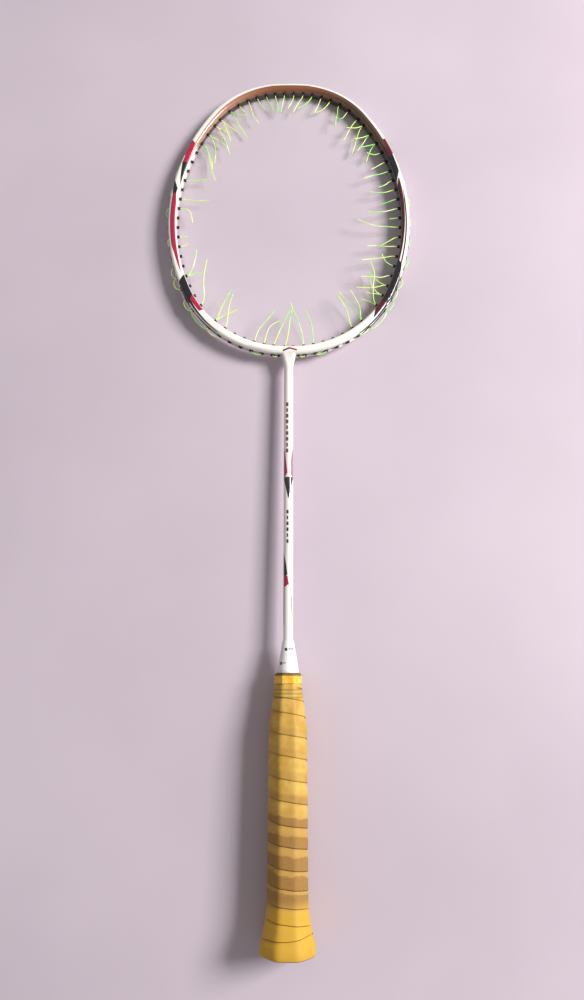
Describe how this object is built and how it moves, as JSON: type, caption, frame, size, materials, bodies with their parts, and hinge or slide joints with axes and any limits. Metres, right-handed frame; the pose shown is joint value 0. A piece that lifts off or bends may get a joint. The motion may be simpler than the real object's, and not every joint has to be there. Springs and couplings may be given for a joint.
{
  "type": "badminton racket",
  "caption": "Badminton racket with a hollow oval head frame, slim shaft, cone cap, taped octagonal handle and cut string ends left in its grommets.",
  "frame": {"origin": "centre of the butt's flat end face", "axes": "+Y along the shaft from the butt to the head, +Z square to the string plane, +X to the right with the head away from the viewer"},
  "size_m": [0.1985, 0.6688, 0.037],
  "materials": {
    "frame_paint": "gloss",
    "shaft_paint": "gloss",
    "cone_plastic": "satin",
    "handle_wood": "matte",
    "badge_plastic": "satin",
    "base_grip_leather": "matte",
    "overgrip_tape": "matte",
    "finishing_tape": "satin",
    "grommet_nylon": "satin",
    "string_nylon": "gloss"
  },
  "bodies": {
    "root": {"head_frame": "frame_paint", "t_joint": "frame_paint", "shaft": "shaft_paint", "cone_cap": "cone_plastic", "handle_core": "handle_wood", "butt_badge": "badge_plastic", "base_grip": "base_grip_leather", "overgrip": "overgrip_tape", "finishing_tape": "finishing_tape", "grommets_bottom": "grommet_nylon", "grommets_right": "grommet_nylon", "grommets_crown": "grommet_nylon", "grommets_left": "grommet_nylon", "string_01": "string_nylon", "string_02": "string_nylon", "string_03": "string_nylon", "string_04": "string_nylon", "string_05": "string_nylon", "string_06": "string_nylon", "string_07": "string_nylon", "string_08": "string_nylon", "string_09": "string_nylon", "string_10": "string_nylon", "string_11": "string_nylon", "string_12": "string_nylon", "string_13": "string_nylon", "string_14": "string_nylon", "string_15": "string_nylon", "string_16": "string_nylon", "string_17": "string_nylon", "string_18": "string_nylon", "string_19": "string_nylon", "string_20": "string_nylon", "string_21": "string_nylon", "string_22": "string_nylon", "string_23": "string_nylon", "string_24": "string_nylon", "string_25": "string_nylon", "string_26": "string_nylon", "string_27": "string_nylon", "string_28": "string_nylon", "string_29": "string_nylon", "string_30": "string_nylon", "string_31": "string_nylon", "string_32": "string_nylon", "string_33": "string_nylon", "string_34": "string_nylon", "string_35": "string_nylon", "string_36": "string_nylon", "string_37": "string_nylon", "string_38": "string_nylon", "string_39": "string_nylon", "string_40": "string_nylon"}
  },
  "joints": []
}
